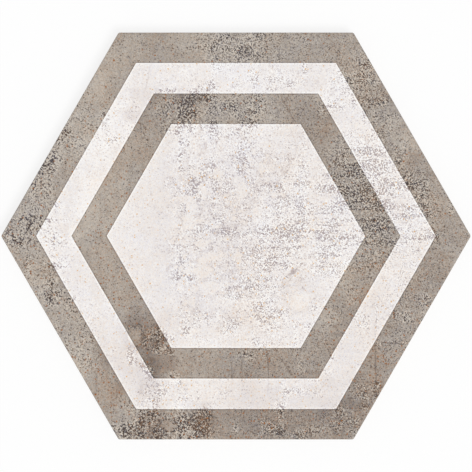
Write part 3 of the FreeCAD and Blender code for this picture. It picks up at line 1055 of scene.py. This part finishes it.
# %% Colours of the two inks
BASE_DARKNESS = 0.08            # of the print where no mark lies
GREY_INK = [(0.0, "#D1C8BB"), (0.12, "#C1B8AC"), (0.28, "#92887E"), (0.55, "#493D35"), (1.0, "#261C17")]
WHITE_INK = [(0.0, "#FFFFFD"), (0.12, "#FDFAF7"), (0.28, "#EAE4E1"), (0.6, "#D4CBC9"), (1.0, "#A39596")]
DARKNESS_RANGE = (-0.6, 2.4)    # of an ink's first and last colour
LINE_DARKNESS = 0.45            # of the thin line on the grey ink
LINE_PALENESS = 0.42            # and of the one on the white ink


def ink_of_two(tree, on_grey, white, grey):
    """One of two colours: the first on the white ink and the second on the grey."""
    return add(tree, "Mix", {"Factor": on_grey, "A": white, "B": grey}, data_type="RGBA")


def band_colour(tree, grey_depth, on_grey, worn):
    """Colour of the inks at this wear, and the darkness with the thin lines that the printer leaves
    along each band: a dark one on the grey side and a light one on the white side."""
    dark_line = rescale(tree, grey_depth, (0, DARK_LINE), (LINE_DARKNESS, 0), "SMOOTHSTEP")
    pale_line = rescale(tree, grey_depth, (-PALE_LINE, 0), (0, -LINE_PALENESS), "SMOOTHSTEP")
    on_white = add(tree, "Math", {0: 1.0, 1: on_grey}, operation="SUBTRACT")
    lines = [product_of(tree, dark_line, on_grey), product_of(tree, pale_line, on_white)]
    darkness = total_of(tree, [worn, *lines])
    share = rescale(tree, darkness, DARKNESS_RANGE, (0, 1))
    colours = []
    for stops in (WHITE_INK, GREY_INK):
        ramp = add(tree, "ValToRGB", {"Fac": share})
        set_stops(ramp, stops)
        colours.append(ramp)
    return ink_of_two(tree, on_grey, *colours), darkness


# %% Tints of single dots and of warm and cool places
WARM_DOTS = ("#F6DCBE", "#BE8A5C")      # on the white ink, on the grey
COOL_DOTS = ("#DEE0F2", "#928F9E")
DOT_TINT = 0.22         # the most that a single dot is tinted
SOFT_TINT = 0.09        # and a warm or cool place
SOFT_TINT_SIZE = 12.0
FLAKE_TINT = 0.045      # flakes are a little warm, and the peeled ground a little cool


def tinted(tree, colour, on_grey, tint, amount):
    """This colour with some of a tint, given as a pair of colours, on the white ink and on the grey."""
    tint = ink_of_two(tree, on_grey, linear(tint[0]), linear(tint[1]))
    return add(tree, "Mix", {"Factor": amount, "A": colour, "B": tint}, data_type="RGBA")


def warm_or_cool(tree, place, dot_numbers, whole, peeled):
    """How far the print is tinted: warm above zero, and cool below."""
    warmth = stored(tree, "warmth")
    soft = noise_at(tree, place, SOFT_TINT_SIZE, 3)
    return total_of(tree, [
        rescale(tree, dot_numbers["Blue"], (0, 1), (-DOT_TINT, DOT_TINT)),
        rescale(tree, soft, NOISE_RANGE, (-SOFT_TINT, SOFT_TINT)),
        rescale(tree, warmth, (-1, 1), (-SOFT_TINT, SOFT_TINT)),
        product_of(tree, whole, FLAKE_TINT),
        product_of(tree, peeled, -FLAKE_TINT),
    ])


# %% Specks of rust
RUST = ("#DDAC60", "#925506")
RUST_SPACING = 1.4      # between the places where a speck of rust may be
REGION_SIZE = 30.0
REGION_NOISE = (0.35, 0.65)
RUST_SHARE = (0.03, 0.12)               # of those places that have one, from region to region
RUST_LOW = ((40, -60), (0.6, 1.45))     # times this along Y, so there are more low on the tile
RUST_LEFT = ((20, -40), (1.0, 1.45))    # and times this along X, so there are more on the left
RUST_WIDER = 0.06       # how much wider a speck is on the grey ink, in spacings
RUST_EDGE = (0.34, 0.22)
RUST_STRENGTH = (0.5, 1.0)


def rust_specks(tree, place, on_grey):
    """Round specks, in a few of the cells of a mosaic, and in more of them in some regions, on the
    left and low on the tile. They are wider on the grey ink."""
    cells, numbers = mosaic(tree, place, RUST_SPACING)
    apart = add(tree, "SeparateXYZ", {0: place}).outputs
    more_here = product_of(tree, rescale(tree, apart["Y"], *RUST_LOW),
                           rescale(tree, apart["X"], *RUST_LEFT))
    regions = rescale(tree, noise_at(tree, place, REGION_SIZE, 2), REGION_NOISE, RUST_SHARE)
    share = product_of(tree, regions, more_here)
    chosen = add(tree, "Math", {0: numbers["Red"], 1: share}, operation="LESS_THAN")
    wider = product_of(tree, on_grey, -RUST_WIDER)
    nearer = add(tree, "Math", {0: wider, 1: cells.outputs["Distance"]}, operation="ADD")
    near = rescale(tree, nearer, RUST_EDGE, (0, 1))
    strength = rescale(tree, numbers["Green"], (0, 1), RUST_STRENGTH)
    return product_of(tree, product_of(tree, near, chosen), strength)


# %% The whole print
def printed_colour(tree, place):
    """Colour of the print and the darkness that made it."""
    _, dot_numbers = mosaic(tree, place, DOT_SIZE)
    grey_depth = depth_into_grey(tree, place)
    on_grey = rescale(tree, grey_depth, (-INK_EDGE, INK_EDGE), (0, 1))
    whole, peeled, line = flakes_of_skin(tree, place)
    worn = total_of(tree, [worn_darkness(tree, place, dot_numbers, whole, peeled, line), BASE_DARKNESS])
    colour, darkness = band_colour(tree, grey_depth, on_grey, worn)
    tint = warm_or_cool(tree, place, dot_numbers, whole, peeled)
    colour = tinted(tree, colour, on_grey, WARM_DOTS, rescale(tree, tint, (0, 1), (0, 1)))
    colour = tinted(tree, colour, on_grey, COOL_DOTS, rescale(tree, tint, (0, -1), (0, 1)))
    return tinted(tree, colour, on_grey, RUST, rust_specks(tree, place, on_grey)), darkness


# %% Printed glaze on the face and the arris
GLASS_IOR = 1.5
GLAZE_ROUGHNESS = (0.52, 0.68)      # where the print is clean, and where it is dark
RIPPLE_SIZE = 0.8
RIPPLE_DEPTH = 0.02
RIPPLE_STRENGTH = 0.15


def matt_printed_glaze():
    """Matt porcelain glaze: a rough dielectric of the index of glass, over the print."""
    material, tree, output = new_material("matt_printed_glaze")
    place = millimetres(tree)
    colour, darkness = printed_colour(tree, place)
    ripple = add(tree, "Bump", {
        "Height": noise_at(tree, place, RIPPLE_SIZE, 2),
        "Strength": RIPPLE_STRENGTH,
        "Distance": RIPPLE_DEPTH * MM,
    })
    shader = add(tree, "BsdfPrincipled", {
        "Base Color": colour,
        "Roughness": rescale(tree, darkness, (0, 1), GLAZE_ROUGHNESS),
        "IOR": GLASS_IOR,
        "Normal": ripple,
    })
    tree.links.new(shader.outputs[0], output.inputs["Surface"])
    return material


# %% [markdown]
# ## Bare porcelain body
# Below the arris the glaze stops, and the fired clay shows: a dense, warm grey stoneware with a dry
# surface. It is a paste of minerals, so it is peppered with grains a shade lighter or darker and with
# a few brown specks of iron. The die draws fine lines down the flanks as the tile leaves it. Glaze
# spray fades out down the joint face as separate droplets, and a powdery white wash of alumina, which
# keeps the tile off the rollers of the kiln, lies in ragged patches on the crests of the back.

# %% Light and dark of the clay
BODY_CLAY = [(0.0, "#83776A"), (0.3, "#A69A8B"), (0.5, "#BAAFA1"), (0.7, "#CBC2B5"), (1.0, "#DED7CC")]
GRAIN_SIZE = 0.25       # the minerals are 0.05 to 0.2 mm, drawn coarser to show
GRAIN_TONE = (-0.2, 0.2)
FIRING_SIZE = 16.0      # slow clouds from the firing
FIRING_TONE = (0.38, 0.62)
MOTTLE_SIZE = 1.8
MOTTLE_TONE = (-0.08, 0.08)
DRAG_SIZE = 0.5         # spacing of the lines that the die leaves
DRAG_STRETCH = (1, 1, 16)
DRAG_TONE = (-0.12, 0.12)


def layer_over(tree, share, under, hex_colour):
    """This colour over the one below, as far as the share says."""
    over = linear(hex_colour)
    return add(tree, "Mix", {"Factor": share, "A": under, "B": over}, data_type="RGBA")


def clay_tone(tree, place, grains):
    """Light and dark of the clay, about a half: slow clouds from the firing, a mottle, the die's lines
    drawn out along Z, and a random number for each grain."""
    clouds = rescale(tree, noise_at(tree, place, FIRING_SIZE, 3), NOISE_RANGE, FIRING_TONE)
    mottle = rescale(tree, noise_at(tree, place, MOTTLE_SIZE, 4, 0.7), NOISE_RANGE, MOTTLE_TONE)
    drawn = noise_at(tree, place, DRAG_SIZE, 2, 0.6, DRAG_STRETCH)
    lines = rescale(tree, drawn, NOISE_RANGE, DRAG_TONE)
    grain = rescale(tree, grains["Red"], (0, 1), GRAIN_TONE)
    return total_of(tree, [clouds, mottle, lines, grain])


# %% Specks of iron
IRON_BROWN = "#6A5545"
IRON_SPACING = 2.2      # between the places where a speck of iron may be
IRON_SHARE = 0.12       # of those places that have one
IRON_RAGGED_SIZE = 0.3
IRON_RAGGED = (-0.06, 0.06)
IRON_EDGE = (0.13, 0.1)
IRON_STRENGTH = 0.8


def iron_specks(tree, place):
    """Small ragged specks in a few of the cells of a wide mosaic."""
    cells, numbers = mosaic(tree, place, IRON_SPACING)
    chosen = add(tree, "Math", {0: numbers["Red"], 1: IRON_SHARE}, operation="LESS_THAN")
    ragged = rescale(tree, noise_at(tree, place, IRON_RAGGED_SIZE, 2), NOISE_RANGE, IRON_RAGGED)
    away = total_of(tree, [cells.outputs["Distance"], ragged])
    return product_of(tree, rescale(tree, away, IRON_EDGE, (0, IRON_STRENGTH)), chosen)


# %% Kiln wash on the back
WASH_WHITE = "#E6E2DA"
WASH_SIZE = 8.0
WASH_HEIGHTS = (0.05, 0.35)     # on the crests of the ribs, and up in the pockets
WASH_GAIN = (0.14, -0.3)        # what is added to the noise at those heights
WASH_EDGE = (0.55, 0.6)
WASH_POWDER = (0.35, 0.9)       # cover from grain to grain


def kiln_wash(tree, place, height, grains):
    """Patches where a noise is high, wider on the crests than in the pockets, with a powdery grain."""
    patches = noise_at(tree, place, WASH_SIZE, 6, 0.65)
    on_crests = rescale(tree, height, WASH_HEIGHTS, WASH_GAIN)
    edge = rescale(tree, total_of(tree, [patches, on_crests]), WASH_EDGE, (0, 1))
    return product_of(tree, edge, rescale(tree, grains["Blue"], (0, 1), WASH_POWDER))


# %% Glaze spray on the joint face
GLAZE_SPRAY = "#A39990"
SPRAY_HEIGHTS = (6.2, 8.1)      # where the droplets of glaze begin, and where they close up
SPRAY_SHARE = (-0.2, 1.1)       # of the grains that are glazed, at those heights
SPRAY_UNEVEN_SIZE = 5.0
SPRAY_UNEVEN = (-0.25, 0.25)
DROPLET_EDGE = (0, 0.1)
DROPLET_COVER = 0.9


def glaze_spray(tree, place, height, grains):
    """Droplets: a grain is glazed where its random number is below a share that rises with height."""
    noise = noise_at(tree, place, SPRAY_UNEVEN_SIZE, 3, 0.6)
    uneven = rescale(tree, noise, NOISE_RANGE, SPRAY_UNEVEN)
    share = total_of(tree, [rescale(tree, height, SPRAY_HEIGHTS, SPRAY_SHARE), uneven])
    below = add(tree, "Math", {0: share, 1: grains["Green"]}, operation="SUBTRACT")
    return rescale(tree, below, DROPLET_EDGE, (0, DROPLET_COVER))


# %% Porcelain of the sides and the back
PORE_SIZE = 0.45
PORE_DEPTH = 0.05
PORE_STRENGTH = 0.5
BODY_TONES = (0.2, 0.8)
BODY_ROUGHNESS = (0.75, 0.9)    # of the darkest and of the lightest of those tones


def unglazed_porcelain():
    """Fired clay: a rough dielectric, peppered, with glaze spray at the top and kiln wash below."""
    material, tree, output = new_material("unglazed_porcelain")
    place = millimetres(tree)
    height = add(tree, "SeparateXYZ", {0: place}).outputs["Z"]
    _, grains = mosaic(tree, place, GRAIN_SIZE)
    tone = clay_tone(tree, place, grains)
    clay = add(tree, "ValToRGB", {"Fac": tone})
    set_stops(clay, BODY_CLAY)
    colour = layer_over(tree, iron_specks(tree, place), clay, IRON_BROWN)
    colour = layer_over(tree, kiln_wash(tree, place, height, grains), colour, WASH_WHITE)
    colour = layer_over(tree, glaze_spray(tree, place, height, grains), colour, GLAZE_SPRAY)
    pores = noise_at(tree, place, PORE_SIZE, 3, 0.65)
    relief = add(tree, "Bump", {
        "Height": total_of(tree, [pores, tone]),
        "Strength": PORE_STRENGTH,
        "Distance": PORE_DEPTH * MM,
    })
    shader = add(tree, "BsdfPrincipled", {
        "Base Color": colour,
        "Roughness": rescale(tree, tone, BODY_TONES, BODY_ROUGHNESS),
        "IOR": GLASS_IOR,
        "Normal": relief,
    })
    tree.links.new(shader.outputs[0], output.inputs["Surface"])
    return material


tile_mesh.materials.append(matt_printed_glaze())
tile_mesh.materials.append(unglazed_porcelain())
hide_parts(NODE)
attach(tile, "root")
print("materials:", [material.name for material in tile_mesh.materials])

# %% [markdown]
# ## Floor, light and camera
# The photograph looks straight down on the tile in flat light against pure white. The floor is a
# pale board that keeps a faint shadow, and shows white to the camera. An even sky gives most of the
# light, and a wide soft sun the rest, so that a colour renders about as it is written.

# %% White floor and sky
WHITE = (1.0, 1.0, 1.0, 1.0)
FLOOR_SIZE = 8.0    # metres
FLOOR_GAP = 0.1 * MM
SKY_SHARE = 0.57    # light on a face that looks up, from the sky
SHOWN_WHITE = 0.8   # share of the floor that shows plain white, while the rest keeps the shadow


def seen_rays(tree):
    """1 for rays that show the background: from the camera, off gloss or through glass."""
    path = add(tree, "LightPath")
    kinds = [path.outputs[name] for name in ("Is Camera Ray", "Is Glossy Ray", "Is Transmission Ray")]
    either = add(tree, "Math", {0: kinds[0], 1: kinds[1]}, operation="MAXIMUM")
    return add(tree, "Math", {0: either, 1: kinds[2]}, operation="MAXIMUM")


def white_floor():
    """A wide plane just under the tile."""
    reach = FLOOR_SIZE / 2
    mesh = bpy.data.meshes.new("floor")
    corners = [(-reach, -reach, -FLOOR_GAP), (reach, -reach, -FLOOR_GAP),
               (reach, reach, -FLOOR_GAP), (-reach, reach, -FLOOR_GAP)]
    mesh.from_pydata(corners, [], [(0, 1, 2, 3)])
    material, tree, output = new_material("white_board")
    board = add(tree, "BsdfDiffuse", {"Color": WHITE})
    plain = add(tree, "Emission", {"Color": WHITE, "Strength": 1.0})
    shown = add(tree, "Math", {0: seen_rays(tree), 1: SHOWN_WHITE}, operation="MULTIPLY")
    tree.links.new(add(tree, "MixShader", {0: shown, 1: board, 2: plain}).outputs[0],
                   output.inputs["Surface"])
    mesh.materials.append(material)
    floor = bpy.data.objects.new("floor", mesh)
    bpy.context.scene.collection.objects.link(floor)


def even_sky():
    """Sky that lights with SKY_SHARE and shows white to the camera."""
    world = bpy.data.worlds.new("even_sky")
    bpy.context.scene.world = world
    world.use_nodes = True
    tree = world.node_tree
    tree.nodes.clear()
    strength = rescale(tree, seen_rays(tree), (0, 1), (SKY_SHARE, 1.0))
    sky = add(tree, "Background", {"Color": WHITE, "Strength": strength})
    output = add(tree, "OutputWorld")
    tree.links.new(sky.outputs[0], output.inputs["Surface"])


white_floor()
even_sky()

# %% Soft sun
SUN_SHARE = 0.39    # light on a face that looks up, from the sun
SUN_TILT = math.radians(32)
SUN_HEADING = math.radians(125)
SUN_WIDTH = math.radians(25)

sun_data = bpy.data.lights.new("soft_sun", "SUN")
sun_data.angle = SUN_WIDTH
# A sun of strength pi lights a surface that faces it as much as a sky of strength 1.
sun_data.energy = math.pi * SUN_SHARE / math.cos(SUN_TILT)
sun = bpy.data.objects.new("soft_sun", sun_data)
sun.rotation_euler = (SUN_TILT, 0, SUN_HEADING - math.pi / 2)
bpy.context.scene.collection.objects.link(sun)
print(f"sun strength {sun_data.energy:.2f}")

# %% Camera straight above
PHOTO_WIDTH = 472           # pixels
PHOTO_FLATS = 407.2         # pixels between the tile's flats in the photograph
LENS = 120.0
SENSOR = 36.0

shown_width = PHOTO_WIDTH / PHOTO_FLATS * 2 * half_flats * MM
camera_data = bpy.data.cameras.new("camera")
camera_data.lens = LENS
camera_data.sensor_width = SENSOR
camera = bpy.data.objects.new("camera", camera_data)
camera.location = (0, 0, face_height * MM + shown_width * LENS / SENSOR)
bpy.context.scene.collection.objects.link(camera)
bpy.context.scene.camera = camera
bpy.context.scene.view_settings.view_transform = "Standard"
print(f"camera {camera.location.z:.3f} m up, {shown_width / MM:.1f} mm across the picture")
